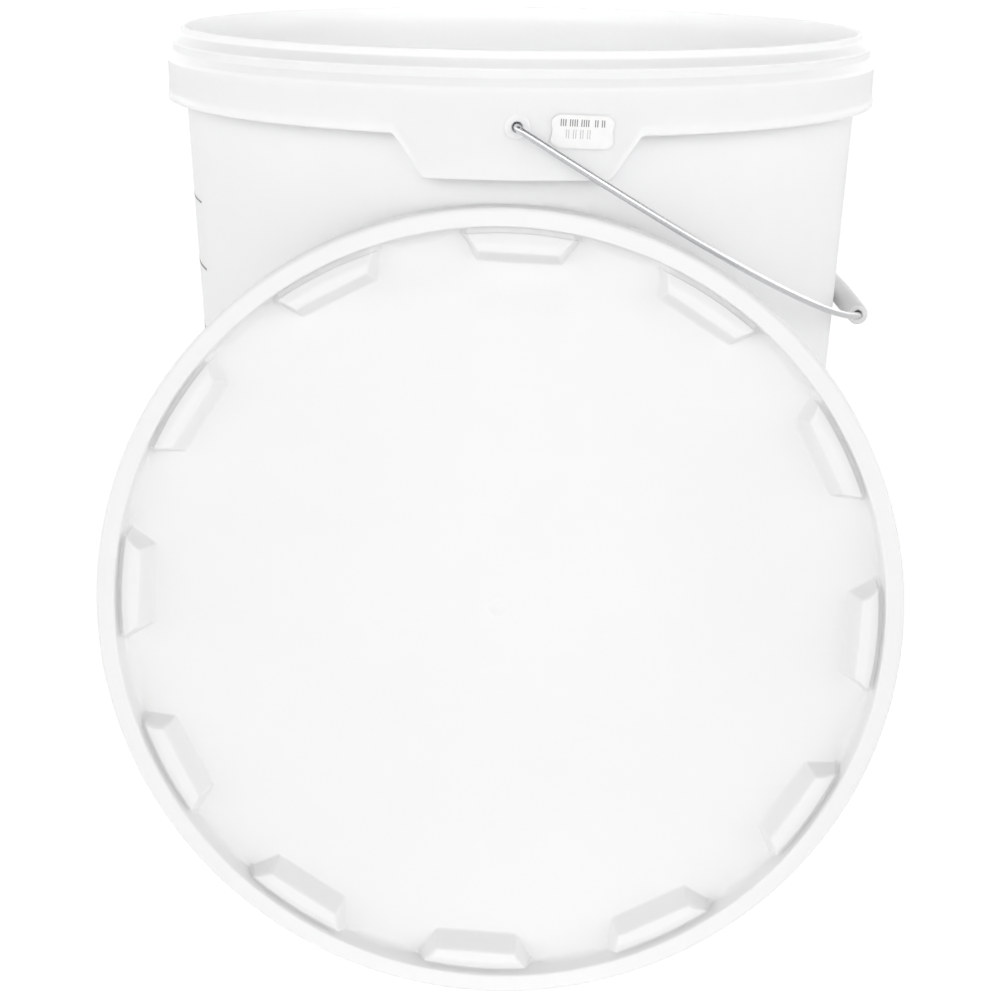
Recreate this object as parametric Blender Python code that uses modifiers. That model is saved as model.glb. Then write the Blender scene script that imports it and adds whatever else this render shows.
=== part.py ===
"""A 25-litre plastic fermenting bucket: a moulded pail, its wire bail with a tube grip, a paper label,
and the snap-on stacking lid, which stands on its edge and leans against the front of the pail.

Metres, +Z up. The origin is the centre of the pail's flat underside. The bail's two pivots lie on the
Y axis's vertical plane, the front one at -Y, and the bail hangs down to the +X side, on the wall.
"""

import math

import bmesh
import bpy
from mathutils import Vector

MM = 0.001
ROUND_STEPS = 72  # straight sides on each large turned shape

# Pail
PAIL_HEIGHT = 397 * MM
FLOOR_THICKNESS = 2.5 * MM
WALL_THICKNESS = 2 * MM
WALL_RADIUS = 161.8 * MM  # outside of the wall, just under the skirt
WALL_RADIUS_DEPTH = 38 * MM  # how far below the lip that radius is taken
WALL_TAPER = 0.0378  # radius lost for each unit of height
BASE_EDGE_RADIUS = 5 * MM
LIP_RADIUS = 163.6 * MM
BEAD_RADIUS = 167.9 * MM  # the ring that the lid snaps over
SKIRT_RADIUS = 170 * MM
SKIRT_THICKNESS = 1.9 * MM
SKIRT_DEPTH = 34.5 * MM
LIP_THICKNESS = 1.8 * MM
LIP_CHAMFER = 0.5 * MM
LIP_FOOT = 3.3 * MM  # the depths at which the rim's outside changes direction
BEAD_TOP = 7.1 * MM
GROOVE_TOP = 8 * MM
GROOVE_FOOT = 10.8 * MM
SHOULDER_TOP = 14 * MM
SKIRT_TOP = 15.5 * MM
INSIDE_STEP = 36 * MM  # the depth at which the wall's inside leaves its taper for the lip
INSIDE_CORNER = 8 * MM

# Bosses: the two places where the skirt reaches lower and carries the bail's pivots
BOSS_DEPTH = 50.5 * MM
BOSS_TOP_HALF_WIDTH = 50 * MM
BOSS_BOTTOM_HALF_WIDTH = 38 * MM
BOSS_WEB_THICKNESS = 1.8 * MM
BOSS_STEP = 0.15 * MM  # how far the boss's faces lie inside the skirt's, so that no two coincide
PIVOT_DEPTH = 29.3 * MM
PIVOT_HOLE_RADIUS = 2.1 * MM
PIVOT_PAD_RADIUS = 5.4 * MM
PIVOT_PAD_FACE = 170.7 * MM
PIVOT_PAD_BACK = 167.5 * MM

# Bail
WIRE_RADIUS = 1.5 * MM
BAIL_REST_DEGREES = 32  # below the horizontal, where the grip meets the wall
BAIL_REACH = 194.8 * MM  # from the pivots' axis to the grip's axis
ARM_FACE = 174.5 * MM  # the wire's centre outside each boss
ARM_START_PULL = 100 * MM
ARM_END_PULL = 105 * MM
ARM_END_DEGREES = 69  # the arm's direction where it meets the grip
HOOK_FACE = 165 * MM  # the wire's centre inside each boss
HOOK_LENGTH = 8 * MM
WIRE_BEND_RADIUS = 3 * MM
GRIP_HALF_LENGTH = 44.5 * MM
GRIP_STRAIGHT = 46 * MM  # half of the wire's straight length through the grip
GRIP_END_RADIUS = 4.7 * MM
GRIP_MIDDLE_RADIUS = 6.1 * MM
GRIP_BORE_RADIUS = 1.9 * MM
GRIP_EDGE = 0.6 * MM  # chamfer at each end

# Label
LABEL_CENTRE_DEGREES = 8.8  # round from the front pivot towards +X
LABEL_WIDTH = 25.6 * MM
LABEL_HEIGHT = 13.2 * MM
LABEL_CORNER = 4.5 * MM
LABEL_DEPTH = 31.2 * MM
LABEL_TILT_DEGREES = 2.5
LABEL_GAP = 0.3 * MM
LABEL_THICKNESS = 0.3 * MM

# Lid, in its own frame: +Z out of its top side, the origin in the plane of its skirt's edge
LID_HEIGHT = 13 * MM
LID_TOP_RADIUS = 167.8 * MM
LID_EDGE_RADIUS = 169.3 * MM
LID_RIM_WIDTH = 7.7 * MM
LID_SHELL = 1.6 * MM
LID_PANEL = 2 * MM
LID_COVE_RADIUS = 4 * MM
LID_COVE_INSET = 0.4 * MM  # draft of the rim's inner wall
LID_ROUNDING = 2 * MM  # at the rim's outer edge
LID_ROOF = 2 * MM  # thickness over the channel that takes the pail's lip
LID_CATCH = 0.4 * MM  # how far the catch stands into the channel
LID_LEAN_DEGREES = 7.3
LID_TURN_DEGREES = -1.4
LID_SIDE_SHIFT = -6.3 * MM
LID_FLOOR_GAP = 0.3 * MM
LID_WALL_GAP = 0.6 * MM

# Stacking lugs on the lid
LUG_COUNT = 12
LUG_TURN_DEGREES = 2.3  # the first lug, clockwise from the lid's highest point
LUG_OUTER_RADIUS = 157.3 * MM
LUG_INNER_RADIUS = 145.4 * MM
LUG_OUTER_HALF = 24 * MM
LUG_INNER_HALF = 16.5 * MM
LUG_INNER_DRAFT = 4 * MM
LUG_END_DRAFT = 3.2 * MM
LUG_ROOT_SINK = 0.6 * MM  # how far the lug's block runs into the panel
LUG_ARC_STEPS = 6


def remove_everything():
    for item in list(bpy.data.objects):
        bpy.data.objects.remove(item, do_unlink=True)


def new_collection(name):
    collection = bpy.data.collections.new(name)
    bpy.context.scene.collection.children.link(collection)
    return collection


def plastic(name, colour, roughness, metallic=0.0):
    material = bpy.data.materials.new(name)
    material.use_nodes = True
    shader = material.node_tree.nodes["Principled BSDF"]
    shader.inputs["Base Color"].default_value = (*colour, 1.0)
    shader.inputs["Roughness"].default_value = roughness
    shader.inputs["Metallic"].default_value = metallic
    return material


def mesh_object(name, mesh, collection, material=None):
    item = bpy.data.objects.new(name, mesh)
    collection.objects.link(item)
    if material:
        mesh.materials.append(material)
    return item


def arc(centre, radius, start_degrees, end_degrees, steps):
    """Points (r, z) on an arc, both ends included."""
    points = []
    for step in range(steps + 1):
        angle = math.radians(start_degrees + (end_degrees - start_degrees) * step / steps)
        points.append((centre[0] + radius * math.cos(angle), centre[1] + radius * math.sin(angle)))
    return points


def turned(name, profile, collection, material=None, steps=ROUND_STEPS, closed=True):
    """A solid turned round Z from (r, z) points, which run down its outer side."""
    mesh = bpy.data.meshes.new(name)
    shape = bmesh.new()
    corners = [shape.verts.new((r, 0.0, z)) for r, z in profile]
    for first, second in zip(corners, corners[1:]):
        shape.edges.new((first, second))
    if closed:
        shape.edges.new((corners[-1], corners[0]))
    shape.to_mesh(mesh)
    shape.free()
    item = mesh_object(name, mesh, collection, material)
    screw = item.modifiers.new("turn", "SCREW")
    screw.steps = steps
    screw.render_steps = steps
    screw.use_merge_vertices = True
    screw.merge_threshold = 0.00001
    screw.use_smooth_shade = True
    return item


def prism(name, outline, depth, collection):
    """A solid with this (x, z) outline, extruded along Y from 0 to depth."""
    mesh = bpy.data.meshes.new(name)
    shape = bmesh.new()
    near = [shape.verts.new((x, 0.0, z)) for x, z in outline]
    face = shape.faces.new(near)
    made = bmesh.ops.extrude_face_region(shape, geom=[face])
    far = [item for item in made["geom"] if isinstance(item, bmesh.types.BMVert)]
    bmesh.ops.translate(shape, verts=far, vec=(0.0, depth, 0.0))
    bmesh.ops.recalc_face_normals(shape, faces=shape.faces)
    shape.to_mesh(mesh)
    shape.free()
    return mesh_object(name, mesh, collection)


def cylinder_along_y(name, radius, start, end, height, steps, collection):
    mesh = bpy.data.meshes.new(name)
    shape = bmesh.new()
    bmesh.ops.create_cone(
        shape, cap_ends=True, segments=steps, radius1=radius, radius2=radius, depth=end - start
    )
    shape.to_mesh(mesh)
    shape.free()
    item = mesh_object(name, mesh, collection)
    item.rotation_euler = (math.radians(90), 0.0, 0.0)
    item.location = (0.0, (start + end) / 2, height)
    return item


def helper(item):
    """Marks an object as a tool for Booleans, and not a sub-part."""
    item.hide_render = True
    item.display_type = "WIRE"
    return item


def combine(item, other, operation):
    boolean = item.modifiers.new(operation.lower() + "_" + other.name, "BOOLEAN")
    boolean.operation = operation
    boolean.solver = "EXACT"
    boolean.object = other
    helper(other)
    return item


def smooth(item, degrees=40):
    item.data.shade_smooth()
    item.data.set_sharp_from_angle(angle=math.radians(degrees))


def wall_radius(height):
    """Outside radius of the pail's wall at a height above its base."""
    return WALL_RADIUS + WALL_TAPER * (height - (PAIL_HEIGHT - WALL_RADIUS_DEPTH))


def inside_profile():
    """The pail's inside, from the middle of its floor up to its lip."""
    top = PAIL_HEIGHT
    inner_top = LIP_RADIUS - LIP_THICKNESS
    inner_low = wall_radius(INSIDE_CORNER) - WALL_THICKNESS
    corner_centre = (inner_low - INSIDE_CORNER, FLOOR_THICKNESS + INSIDE_CORNER)
    step_height = top - INSIDE_STEP
    points = [(0.0, FLOOR_THICKNESS)]
    points += arc(corner_centre, INSIDE_CORNER, -90, 0, 4)
    points += [
        (wall_radius(step_height) - WALL_THICKNESS, step_height),
        (inner_top, top - 5 * MM),
        (inner_top, top - LIP_CHAMFER),
        (inner_top + LIP_CHAMFER, top),
    ]
    return points


def rim_profile():
    """The rim's outside, from the lip down to the skirt's edge, and up again behind the skirt."""
    top = PAIL_HEIGHT
    skirt_inside = SKIRT_RADIUS - SKIRT_THICKNESS
    groove_inside = BEAD_RADIUS - 2.4 * MM
    outside = [
        (LIP_RADIUS - LIP_CHAMFER, top),
        (LIP_RADIUS, top - LIP_CHAMFER),
        (LIP_RADIUS, top - LIP_FOOT),
        (BEAD_RADIUS, top - BEAD_TOP),
        (BEAD_RADIUS - 0.4 * MM, top - GROOVE_TOP),
        (BEAD_RADIUS - 0.3 * MM, top - GROOVE_FOOT),
        (SKIRT_RADIUS - 0.5 * MM, top - SHOULDER_TOP),
        (SKIRT_RADIUS, top - SKIRT_TOP),
        (SKIRT_RADIUS, top - SKIRT_DEPTH),
    ]
    underside = [
        (skirt_inside, top - SKIRT_DEPTH),
        (skirt_inside, top - SKIRT_TOP - 1.5 * MM),
        (groove_inside + 0.2 * MM, top - SHOULDER_TOP + 1.4 * MM),
        (groove_inside, top - GROOVE_TOP - 0.8 * MM),
        (LIP_RADIUS - 0.2 * MM, top - BEAD_TOP - 0.1 * MM),
        (wall_radius(top - 10 * MM), top - 10 * MM),
    ]
    return outside + underside


def pail_profile():
    base_radius = wall_radius(BASE_EDGE_RADIUS)
    base_centre = (base_radius - BASE_EDGE_RADIUS, BASE_EDGE_RADIUS)
    base_edge = arc(base_centre, BASE_EDGE_RADIUS, 0, -90, 4)
    return inside_profile() + rim_profile() + base_edge + [(0.0, 0.0)]


def boss_outline():
    """The boss's trapezoid, in the XZ plane. It runs up behind the skirt, to be one piece with it."""
    top = PAIL_HEIGHT - SKIRT_DEPTH + 3 * MM
    bottom = PAIL_HEIGHT - BOSS_DEPTH
    return [
        (-BOSS_BOTTOM_HALF_WIDTH, bottom),
        (BOSS_BOTTOM_HALF_WIDTH, bottom),
        (BOSS_TOP_HALF_WIDTH, PAIL_HEIGHT - SKIRT_DEPTH),
        (BOSS_TOP_HALF_WIDTH, top),
        (-BOSS_TOP_HALF_WIDTH, top),
        (-BOSS_TOP_HALF_WIDTH, PAIL_HEIGHT - SKIRT_DEPTH),
    ]


def web_outline(side):
    """One slanted side wall of the boss, which joins its plate to the pail's wall."""
    top = PAIL_HEIGHT - SKIRT_DEPTH + 2 * MM
    bottom = PAIL_HEIGHT - BOSS_DEPTH + BOSS_STEP
    outer = [
        (BOSS_BOTTOM_HALF_WIDTH - BOSS_STEP, bottom),
        (BOSS_TOP_HALF_WIDTH - BOSS_STEP, PAIL_HEIGHT - SKIRT_DEPTH),
        (BOSS_TOP_HALF_WIDTH - BOSS_STEP, top),
    ]
    inner = [(x - BOSS_WEB_THICKNESS, z) for x, z in reversed(outer)]
    return [(side * x, z) for x, z in outer + inner]


def ring_profile(inner, outer, low, high):
    return [(inner, high), (outer, high), (outer, low), (inner, low)]


def make_boss(pail, tools, name, facing_degrees):
    """Joins one boss to the pail. Its tools hang on an empty, which turns them round Z."""
    frame = bpy.data.objects.new(name + "_frame", None)
    tools.objects.link(frame)
    frame.rotation_euler.z = math.radians(facing_degrees)
    spare = 5 * MM  # how far each tool runs past what it cuts
    low = PAIL_HEIGHT - BOSS_DEPTH - spare
    high = PAIL_HEIGHT - SKIRT_DEPTH + 2 * spare
    reach = 60 * MM
    cut_start = -SKIRT_RADIUS - spare
    plate_inner = SKIRT_RADIUS - SKIRT_THICKNESS + BOSS_STEP
    plate_ring = ring_profile(plate_inner, SKIRT_RADIUS - BOSS_STEP, low, high)
    web_inner = wall_radius(PAIL_HEIGHT - BOSS_DEPTH) - 0.8 * MM
    web_ring = ring_profile(web_inner, plate_inner + 0.5 * MM, low, high)
    sections = [
        ("plate", plate_ring, boss_outline()),
        ("web_left", web_ring, web_outline(-1)),
        ("web_right", web_ring, web_outline(1)),
    ]
    shapes = []
    for section, ring, outline in sections:
        shape = turned(f"{name}_{section}", ring, tools)
        cut = prism(f"{name}_{section}_cut", outline, reach, tools)
        cut.location.y = cut_start
        shape.parent = frame
        cut.parent = frame
        shapes.append(combine(shape, cut, "INTERSECT"))
    pivot_height = PAIL_HEIGHT - PIVOT_DEPTH
    pad = cylinder_along_y(
        name + "_pad",
        PIVOT_PAD_RADIUS,
        -PIVOT_PAD_FACE,
        -PIVOT_PAD_BACK,
        pivot_height,
        32,
        tools,
    )
    pad.parent = frame
    shapes.append(pad)
    for shape in shapes:
        combine(pail, shape, "UNION")
    hole = cylinder_along_y(
        name + "_hole",
        PIVOT_HOLE_RADIUS,
        -PIVOT_PAD_FACE - spare,
        -PIVOT_PAD_BACK + spare,
        pivot_height,
        24,
        tools,
    )
    hole.parent = frame
    combine(pail, hole, "DIFFERENCE")


def make_pail(parts, tools):
    natural = plastic("natural_polypropylene", (0.90, 0.91, 0.92), 0.35)
    pail = turned("pail", pail_profile(), parts, natural, closed=False)
    make_boss(pail, tools, "front_boss", 0)
    make_boss(pail, tools, "back_boss", 180)
    return pail


def bend_points(before, corner, after, radius, steps=4):
    """A round bend of this radius in place of a corner between two straight runs."""
    into = (corner - before).normalized()
    out = (after - corner).normalized()
    turn = into.angle(out)
    setback = radius * math.tan(turn / 2)
    start = corner - into * setback
    normal = (out - into * into.dot(out)).normalized()
    centre = start + normal * radius
    points = []
    for step in range(steps + 1):
        angle = turn * step / steps
        points.append(centre - normal * radius * math.cos(angle) + into * radius * math.sin(angle))
    return points


def arm_curve(steps=22):
    """The arm's centre line in the bail's plane: x away from the pivots' axis, y along it."""
    start = Vector((WIRE_BEND_RADIUS, -ARM_FACE))
    end = Vector((BAIL_REACH, -GRIP_STRAIGHT))
    angle = math.radians(ARM_END_DEGREES)
    first_pull = start + Vector((ARM_START_PULL, 0.0))
    second_pull = end - ARM_END_PULL * Vector((math.cos(angle), math.sin(angle)))
    points = []
    for step in range(steps + 1):
        t = step / steps
        s = 1 - t
        points.append(
            s**3 * start + 3 * s * s * t * first_pull + 3 * s * t * t * second_pull + t**3 * end
        )
    return points


def half_bail():
    """Centre line from the front hook's tip to the middle of the grip, in the bail's plane."""
    tip = Vector((-HOOK_LENGTH, -HOOK_FACE))
    inner = Vector((0.0, -HOOK_FACE))
    outer = Vector((0.0, -ARM_FACE))
    arm = arm_curve()
    points = [tip]
    points += bend_points(tip, inner, outer, WIRE_BEND_RADIUS)
    points += bend_points(inner, outer, outer + Vector((1.0, 0.0)), WIRE_BEND_RADIUS)
    points += arm[1:-2]
    middle = Vector((BAIL_REACH, 0.0))
    points += bend_points(arm[-2], arm[-1], middle, 3 * WIRE_BEND_RADIUS)
    return points


def welded_curve_mesh(item, collection, material):
    """Turns a curve object into a mesh object whose caps are joined to its sides."""
    bpy.context.view_layer.update()
    graph = bpy.context.evaluated_depsgraph_get()
    mesh = bpy.data.meshes.new_from_object(item.evaluated_get(graph))
    shape = bmesh.new()
    shape.from_mesh(mesh)
    bmesh.ops.remove_doubles(shape, verts=shape.verts, dist=0.01 * MM)
    shape.to_mesh(mesh)
    shape.free()
    name = item.name
    place = item.matrix_world.copy()
    bpy.data.objects.remove(item, do_unlink=True)
    mesh.materials.clear()
    made = mesh_object(name, mesh, collection, material)
    made.matrix_world = place
    return made


def make_bail(parts):
    front = half_bail()
    back = [Vector((point.x, -point.y)) for point in reversed(front)]
    route = front + back
    curve = bpy.data.curves.new("bail_wire", "CURVE")
    curve.dimensions = "3D"
    curve.bevel_depth = WIRE_RADIUS
    curve.bevel_resolution = 3
    curve.use_fill_caps = True
    spline = curve.splines.new("POLY")
    spline.points.add(len(route) - 1)
    for place, point in zip(spline.points, route):
        place.co = (point.x, point.y, 0.0, 1.0)
    wire = bpy.data.objects.new("bail_wire", curve)
    parts.objects.link(wire)
    wire.location = (0.0, 0.0, PAIL_HEIGHT - PIVOT_DEPTH)
    wire.rotation_euler = (0.0, math.radians(BAIL_REST_DEGREES), 0.0)
    steel = plastic("galvanised_steel", (0.62, 0.63, 0.65), 0.3, metallic=1.0)
    return welded_curve_mesh(wire, parts, steel)


def make_grip(parts):
    """A barrel-shaped tube on the wire, turned round its own axis."""
    steps = 8
    outer = []
    for step in range(steps + 1):
        along = 1 - 2 * step / steps
        radius = GRIP_END_RADIUS + (GRIP_MIDDLE_RADIUS - GRIP_END_RADIUS) * (1 - along**2)
        outer.append((radius, along * (GRIP_HALF_LENGTH - GRIP_EDGE)))
    top = [(GRIP_BORE_RADIUS, GRIP_HALF_LENGTH), (GRIP_END_RADIUS - GRIP_EDGE, GRIP_HALF_LENGTH)]
    bottom = [(r, -z) for r, z in reversed(top)]
    white = plastic("white_polythene", (0.92, 0.92, 0.91), 0.4)
    grip = turned("bail_grip", top + outer + bottom, parts, white, steps=32)
    slope = math.radians(BAIL_REST_DEGREES)
    grip.location = (
        BAIL_REACH * math.cos(slope),
        0.0,
        PAIL_HEIGHT - PIVOT_DEPTH - BAIL_REACH * math.sin(slope),
    )
    grip.rotation_euler = (math.radians(90), 0.0, 0.0)
    return grip


def rounded_outline(width, height, corner, steps=5):
    points = []
    corners = ((1, -1, -90), (1, 1, 0), (-1, 1, 90), (-1, -1, 180))
    for side, end, start_degrees in corners:
        centre = (side * (width / 2 - corner), end * (height / 2 - corner))
        points += arc(centre, corner, start_degrees, start_degrees + 90, steps)
    return points


def make_label(parts, tools):
    """A price-gun sticker on the front boss, curved to the skirt."""
    paper = plastic("label_paper", (0.93, 0.93, 0.92), 0.75)
    low = PAIL_HEIGHT - LABEL_DEPTH - LABEL_HEIGHT
    high = PAIL_HEIGHT - LABEL_DEPTH + LABEL_HEIGHT
    inner = SKIRT_RADIUS + LABEL_GAP
    ring = ring_profile(inner, inner + LABEL_THICKNESS, low, high)
    label = turned("batch_label", ring, parts, paper, steps=2 * ROUND_STEPS)
    outline = rounded_outline(LABEL_WIDTH, LABEL_HEIGHT, LABEL_CORNER)
    cut = prism("label_cut", outline, 10 * MM, tools)
    across = math.radians(LABEL_CENTRE_DEGREES)
    distance = SKIRT_RADIUS + 5 * MM
    cut.location = (
        distance * math.sin(across),
        -distance * math.cos(across),
        PAIL_HEIGHT - LABEL_DEPTH,
    )
    cut.rotation_euler = (0.0, math.radians(LABEL_TILT_DEGREES), across)
    combine(label, cut, "INTERSECT")
    return label


def lid_profile():
    top = LID_HEIGHT
    rim_inner = LID_TOP_RADIUS - LID_RIM_WIDTH
    cove_foot = rim_inner - LID_COVE_INSET
    inner_edge = 0.7 * MM
    upper = [(0.0, LID_PANEL)]
    cove_centre = (cove_foot - LID_COVE_RADIUS, LID_PANEL + LID_COVE_RADIUS)
    upper += arc(cove_centre, LID_COVE_RADIUS, -90, 0, 4)
    upper += [(rim_inner, top - inner_edge), (rim_inner + inner_edge, top)]
    rounding_centre = (LID_TOP_RADIUS - LID_ROUNDING, top - LID_ROUNDING)
    upper += arc(rounding_centre, LID_ROUNDING, 90, 0, 4)
    upper += [(LID_EDGE_RADIUS, 0.0)]
    edge_inside = LID_EDGE_RADIUS - LID_SHELL
    roof = top - LID_ROOF
    plug = rim_inner + LID_SHELL
    lower = [
        (edge_inside + 0.5 * MM, 0.0),
        (edge_inside - LID_CATCH, 1.6 * MM),
        (edge_inside + 0.2 * MM, 3 * MM),
        (LID_TOP_RADIUS - LID_SHELL, roof),
        (plug, roof),
        (plug - 0.6 * MM, 2.5 * MM),
        (plug - 2.4 * MM, 0.0),
    ]
    return upper + lower + [(0.0, 0.0)]


def lug_block(name, tools, inset=0.0, low=0.0, high=LID_HEIGHT):
    """One lug's block at the lid's +Y side: the outer face follows the rim, the rest has draft."""
    loops = []
    for height, raised in ((low, 0.0), (high, 1.0)):
        outer_half = LUG_OUTER_HALF - raised * LUG_END_DRAFT - 1.3 * inset
        inner_half = LUG_INNER_HALF - raised * LUG_END_DRAFT / 2 - 1.3 * inset
        outer_radius = LUG_OUTER_RADIUS - inset
        inner_radius = LUG_INNER_RADIUS + raised * LUG_INNER_DRAFT + inset
        half_angle = outer_half / LUG_OUTER_RADIUS
        loop = []
        for step in range(LUG_ARC_STEPS + 1):
            angle = half_angle * (1 - 2 * step / LUG_ARC_STEPS)
            loop.append((outer_radius * math.sin(angle), outer_radius * math.cos(angle), height))
        loop += [(-inner_half, inner_radius, height), (inner_half, inner_radius, height)]
        loops.append(loop)
    mesh = bpy.data.meshes.new(name)
    shape = bmesh.new()
    rows = [[shape.verts.new(point) for point in loop] for loop in loops]
    count = len(rows[0])
    for index in range(count):
        after = (index + 1) % count
        shape.faces.new((rows[0][index], rows[0][after], rows[1][after], rows[1][index]))
    shape.faces.new(rows[1])
    shape.faces.new(list(reversed(rows[0])))
    bmesh.ops.recalc_face_normals(shape, faces=shape.faces)
    shape.to_mesh(mesh)
    shape.free()
    return mesh_object(name, mesh, tools)


def make_lid(parts, tools):
    white = plastic("white_polypropylene", (0.95, 0.95, 0.95), 0.42)
    lid = turned("lid", lid_profile(), parts, white, closed=False)
    lean = math.radians(LID_LEAN_DEGREES)
    centre_height = LID_FLOOR_GAP + LID_EDGE_RADIUS * math.cos(lean)
    touch_height = centre_height + LID_EDGE_RADIUS * math.cos(lean)
    forward = wall_radius(touch_height) + LID_WALL_GAP + LID_EDGE_RADIUS * math.sin(lean)
    lid.location = (LID_SIDE_SHIFT, -forward, centre_height)
    lid.rotation_euler = (math.pi / 2 - lean, 0.0, math.radians(LID_TURN_DEGREES))
    bpy.context.view_layer.update()
    block = lug_block("lug_block", tools, low=LID_PANEL - LUG_ROOT_SINK)
    pocket = lug_block("lug_pocket", tools, inset=LID_SHELL, low=-MM, high=LID_HEIGHT - LID_SHELL)
    for index in range(LUG_COUNT):
        angle = -math.radians(LUG_TURN_DEGREES + index * 360 / LUG_COUNT)
        for source, operation in ((block, "UNION"), (pocket, "DIFFERENCE")):
            tool = source.copy()
            tool.name = f"{source.name}_{index:02d}"
            tools.objects.link(tool)
            tool.parent = lid
            tool.rotation_euler = (0.0, 0.0, angle)
            combine(lid, tool, operation)
    for source in (block, pocket):
        bpy.data.objects.remove(source, do_unlink=True)
    return lid


def main():
    remove_everything()
    parts = new_collection("fermenting_bucket")
    tools = new_collection("boolean_tools")
    made = [
        make_pail(parts, tools),
        make_bail(parts),
        make_grip(parts),
        make_label(parts, tools),
        make_lid(parts, tools),
    ]
    for item in made:
        smooth(item)


main()
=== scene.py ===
import math

import bmesh
import bpy
import numpy as np
from mathutils import Matrix, Vector


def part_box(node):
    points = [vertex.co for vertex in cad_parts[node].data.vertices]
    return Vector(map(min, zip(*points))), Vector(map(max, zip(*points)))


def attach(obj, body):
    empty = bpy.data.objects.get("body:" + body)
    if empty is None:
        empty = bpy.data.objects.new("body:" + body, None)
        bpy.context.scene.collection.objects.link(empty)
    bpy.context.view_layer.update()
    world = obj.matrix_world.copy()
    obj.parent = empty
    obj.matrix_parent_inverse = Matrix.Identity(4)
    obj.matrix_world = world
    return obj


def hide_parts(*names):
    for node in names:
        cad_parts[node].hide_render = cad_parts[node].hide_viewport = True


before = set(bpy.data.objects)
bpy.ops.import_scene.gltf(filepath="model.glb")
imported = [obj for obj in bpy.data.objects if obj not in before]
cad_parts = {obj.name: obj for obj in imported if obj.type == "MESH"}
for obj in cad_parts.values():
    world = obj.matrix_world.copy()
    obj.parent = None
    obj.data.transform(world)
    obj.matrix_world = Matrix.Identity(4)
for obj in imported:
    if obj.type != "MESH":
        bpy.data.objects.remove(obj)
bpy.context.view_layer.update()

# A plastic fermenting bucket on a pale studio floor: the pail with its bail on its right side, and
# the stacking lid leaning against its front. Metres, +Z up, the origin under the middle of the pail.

MM = 0.001

# Pail, as in the CAD model. Depths are taken downwards from the lip.
PAIL_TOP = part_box("pail")[1].z
WALL_RADIUS = 161.8 * MM
WALL_RADIUS_DEPTH = 38 * MM
WALL_TAPER = 0.0378
WALL_THICKNESS = 2 * MM
FLOOR_THICKNESS = 2.5 * MM
INSIDE_CORNER = 8 * MM
BASE_EDGE_RADIUS = 5 * MM
FOOT_RECESS = 0.8 * MM  # the underside stands on a ring this much lower than its middle
LIP_RADIUS = 163.6 * MM
LIP_THICKNESS = 1.8 * MM
BEAD_RADIUS = 167.9 * MM
SKIRT_RADIUS = 170 * MM
SKIRT_THICKNESS = 1.9 * MM
SKIRT_TOP = 15.5 * MM
SKIRT_DEPTH = 33.4 * MM
HEM_HEIGHT = 4.5 * MM  # the slight outward bead above the skirt's edge
HEM_SWELL = 0.6 * MM

# Bosses and pivots
BOSS_DEPTH = 50.9 * MM
BOSS_TOP_HALF_WIDTH = 50 * MM
BOSS_BOTTOM_HALF_WIDTH = 38 * MM
BOSS_WEB_THICKNESS = 1.8 * MM
PIVOT_DEPTH = 29.3 * MM
PIVOT_HOLE_RADIUS = 2.1 * MM
PIVOT_PAD_RADIUS = 5.4 * MM
PIVOT_PAD_FACE = 170.7 * MM

# Bail
WIRE_RADIUS = 1.5 * MM
WIRE_BEND_RADIUS = 3 * MM
BAIL_REACH = 194.8 * MM
BAIL_REST_DEGREES = 32
ARM_FACE = 174.5 * MM
ARM_START_PULL = 100 * MM
ARM_END_PULL = 105 * MM
ARM_END_DEGREES = 69
HOOK_FACE = 165 * MM
HOOK_LENGTH = 8 * MM
GRIP_HALF_LENGTH = 44.5 * MM
GRIP_STRAIGHT = 46 * MM
GRIP_END_RADIUS = 4.9 * MM
GRIP_MIDDLE_RADIUS = 5.5 * MM
GRIP_BORE_RADIUS = 1.9 * MM

# Label
LABEL_CENTRE_DEGREES = 8.8
LABEL_WIDTH = 25.6 * MM
LABEL_HEIGHT = 13.2 * MM
LABEL_DEPTH = 31.2 * MM
LABEL_TILT_DEGREES = 2.5
LABEL_INNER = 170.3 * MM
LABEL_THICKNESS = 0.25 * MM
LABEL_ROWS = (
    {
        "base": 2.1 * MM, "height": 2.8 * MM, "left": -9.1 * MM, "width": 0.42 * MM,
        "pitch": 0.92 * MM, "strokes": 20, "spaces": (3, 8, 13, 14, 17),
    },
    {
        "base": -2.7 * MM, "height": 3.6 * MM, "left": -6.7 * MM, "width": 0.3 * MM,
        "pitch": 0.95 * MM, "strokes": 11, "spaces": (2, 5, 8),
    },
)

# Litre scale, printed on the -X side
LITRE = 0.001  # cubic metres
SCALE_STEP_LITRES = 2.5
SCALE_MARKS = 9
SCALE_START_DEGREES = 67.3  # round from the front pivot towards -X
SCALE_SHORT_DEGREES = 13
SCALE_LONG_DEGREES = 18
SCALE_FIGURE_DEGREES = 95
SCALE_RAISE = 6.0 * MM  # the print sits this much over the levels worked out from the pail's inside
SCALE_FIGURE_SIZE = 12 * MM
SCALE_SHORT_LINE = 0.9 * MM  # the thickness of a mark without a figure
SCALE_LONG_LINE = 1.1 * MM
INK_THICKNESS = 0.06 * MM
INK_GAP = 0.03 * MM

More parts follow.
